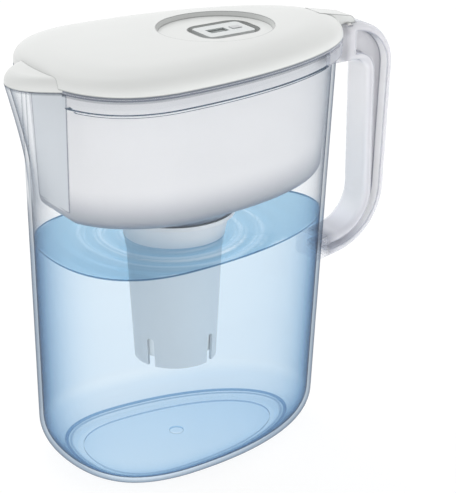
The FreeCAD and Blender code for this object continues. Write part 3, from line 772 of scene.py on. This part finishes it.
def level_bars(first_bar, ink):
    """A row of plain bars from the place of the first one, set out by Geometry Nodes."""
    tree = bpy.data.node_groups.new("level_bars", "GeometryNodeTree")
    tree.interface.new_socket("Geometry", in_out="OUTPUT", socket_type="NodeSocketGeometry")
    inputs = (
        ("Bar Count", "NodeSocketInt", BAR_COUNT),
        ("First Bar", "NodeSocketVector", first_bar),
        ("Bar Step", "NodeSocketVector", (BAR_STEP, 0.0, 0.0)),
        ("Bar Size", "NodeSocketVector", (BAR_WIDTH, BAR_LENGTH, BAR_THICK)),
        ("Ink", "NodeSocketMaterial", ink),
    )
    settings = {}
    for name, kind, value in inputs:
        socket = tree.interface.new_socket(name, in_out="INPUT", socket_type=kind)
        settings[socket.identifier] = value
    add = tree.nodes.new
    given = add("NodeGroupInput").outputs
    row = add("GeometryNodeMeshLine")
    bar = add("GeometryNodeMeshCube")
    placed = add("GeometryNodeInstanceOnPoints")
    real = add("GeometryNodeRealizeInstances")
    inked = add("GeometryNodeSetMaterial")
    output = add("NodeGroupOutput")
    for start, end in (
        (given["Bar Count"], row.inputs["Count"]),
        (given["First Bar"], row.inputs["Start Location"]),
        (given["Bar Step"], row.inputs["Offset"]),
        (given["Bar Size"], bar.inputs["Size"]),
        (given["Ink"], inked.inputs["Material"]),
        (row.outputs["Mesh"], placed.inputs["Points"]),
        (bar.outputs["Mesh"], placed.inputs["Instance"]),
        (placed.outputs["Instances"], real.inputs["Geometry"]),
        (real.outputs["Geometry"], inked.inputs["Geometry"]),
        (inked.outputs["Geometry"], output.inputs[0]),
    ):
        tree.links.new(start, end)
    piece = bpy.data.objects.new("level_bars", bpy.data.meshes.new("level_bars_seed"))
    bpy.context.scene.collection.objects.link(piece)
    modifier = piece.modifiers.new("bars", "NODES")
    modifier.node_group = tree
    for identifier, value in settings.items():
        modifier[identifier] = value
    ready = piece.evaluated_get(bpy.context.evaluated_depsgraph_get())
    mesh = bpy.data.meshes.new_from_object(ready)
    piece.modifiers.clear()
    piece.data = mesh
    return piece


indicator_white = white_plastic("indicator_plastic", colour=(0.60, 0.62, 0.62), roughness=0.5, shine=0.05)
for node, name in (("indicator_case", "indicator_tray"), ("indicator_face", "indicator_plate")):
    finish_in(smooth_moulding(node, name), indicator_white)
display_glass = grained("display_glass", DARK_GLASS, LIGHT_GLASS, scale=120.0, roughness=0.25)
green_laminate = grained("green_laminate", DARK_GREEN, LIGHT_GREEN, scale=400.0, roughness=0.4)
display_ink = grained("display_ink", DARK_INK, LIGHT_INK, scale=300.0, roughness=0.4)
finish_in(frame["nodes"]["indicator_window"], clear_window())
finish_in(frame["nodes"]["lcd_panel"], display_glass)
finish_in(frame["nodes"]["circuit_board"], green_laminate)
panel_low, panel_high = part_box("lcd_panel")
first_x = (panel_low.x + panel_high.x) / 2 - BAR_STEP * (BAR_COUNT - 1) / 2
bars = level_bars((first_x, 0.0, panel_high.z + BAR_THICK / 2), display_ink)
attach(bars, "lid_unit")
button = smooth_moulding("reset_button", "button_cap")
finish_in(button, white_plastic("button_rubber", colour=(0.50, 0.51, 0.52), roughness=0.6, shine=0.0))

# Studio: a white floor and sky that keep a faint shadow, a soft light overhead and two low
# softboxes at the front. The lamps light the pitcher and aren't mirrored in it.
FLOOR_SIZE = 6.0
PAPER_COLOUR = (0.85, 0.85, 0.85)
FLOOR_GLOW = 1.04
FLOOR_GLOW_SHARE = 0.87
SKY_LIGHT = 0.72
SKY_WHITE = 1.0


def background_rays(finish):
    """One for a ray that shows the background, straight on, mirrored or through clear plastic."""
    path = finish.add("ShaderNodeLightPath").outputs
    shown = finish.math("MAXIMUM", path["Is Camera Ray"], path["Is Glossy Ray"])
    return finish.math("MAXIMUM", shown, path["Is Transmission Ray"])


def pale_floor():
    finish = Finish("pale_floor")
    paper = finish.solid(PAPER_COLOUR, roughness=0.9)
    glow = finish.add("ShaderNodeEmission")
    glow.inputs["Strength"].default_value = FLOOR_GLOW
    share = finish.times(background_rays(finish), FLOOR_GLOW_SHARE)
    return finish.done(finish.shade(paper.outputs[0], glow.outputs[0], share))


def white_sky():
    finish = Finish("studio", bpy.data.worlds, "ShaderNodeOutputWorld")
    skies = []
    for strength in (SKY_LIGHT, SKY_WHITE):
        sky = finish.add("ShaderNodeBackground")
        sky.inputs["Color"].default_value = (1.0, 1.0, 1.0, 1.0)
        sky.inputs["Strength"].default_value = strength
        skies.append(sky.outputs[0])
    return finish.done(finish.shade(*skies, background_rays(finish)))


def softbox(name, place, target, width, height, power):
    light = bpy.data.lights.new(name, "AREA")
    light.shape = "RECTANGLE"
    light.size = width
    light.size_y = height
    light.energy = power
    lamp = bpy.data.objects.new(name, light)
    lamp.location = place
    lamp.rotation_euler = (Vector(target) - Vector(place)).to_track_quat("-Z", "Y").to_euler()
    lamp.visible_camera = False
    lamp.visible_glossy = False
    bpy.context.scene.collection.objects.link(lamp)


half = FLOOR_SIZE / 2
floor_mesh = bpy.data.meshes.new("floor")
corners = [(-half, -half, 0), (half, -half, 0), (half, half, 0), (-half, half, 0)]
floor_mesh.from_pydata(corners, [], [(0, 1, 2, 3)])
floor = bpy.data.objects.new("floor", floor_mesh)
bpy.context.scene.collection.objects.link(floor)
finish_in(floor, pale_floor())
bpy.context.scene.world = white_sky()
softbox("overhead", (0.15, 0.85, 1.15), (0, 0, 0.25), width=1.0, height=1.0, power=14.0)
softbox("left_box", (-0.75, -0.65, 0.12), (0, 0, 0.14), width=0.9, height=0.24, power=3.8)
softbox("right_box", (0.80, -0.72, 0.12), (0, 0, 0.14), width=0.9, height=0.24, power=5.6)

# Camera: a long lens, above the pitcher and a little to the spout's side of it, at the viewing
# angle of the reference view and worked out for a frame of 456 by 493.
FRAME_HEIGHT_PX = 493
FOCAL_PX = 1856.0
SENSOR = 36.0
CAMERA_PLACE = Vector((-0.5871, -0.9120, 0.5696))
AZIMUTH = math.radians(-33.44)
ELEVATION = math.radians(22.21)
CLEAR_LAYERS = 32
view_back = Vector(
    (math.sin(AZIMUTH) * math.cos(ELEVATION), -math.cos(AZIMUTH) * math.cos(ELEVATION), math.sin(ELEVATION))
)
camera_data = bpy.data.cameras.new("camera")
camera_data.sensor_width = SENSOR
camera_data.lens = FOCAL_PX * SENSOR / FRAME_HEIGHT_PX
camera = bpy.data.objects.new("camera", camera_data)
camera.location = CAMERA_PLACE
camera.rotation_mode = "QUATERNION"
camera.rotation_quaternion = (-view_back).to_track_quat("-Z", "Y")
bpy.context.scene.collection.objects.link(camera)
bpy.context.scene.camera = camera
bpy.context.scene.view_settings.view_transform = "Standard"
bpy.context.scene.cycles.transparent_max_bounces = CLEAR_LAYERS
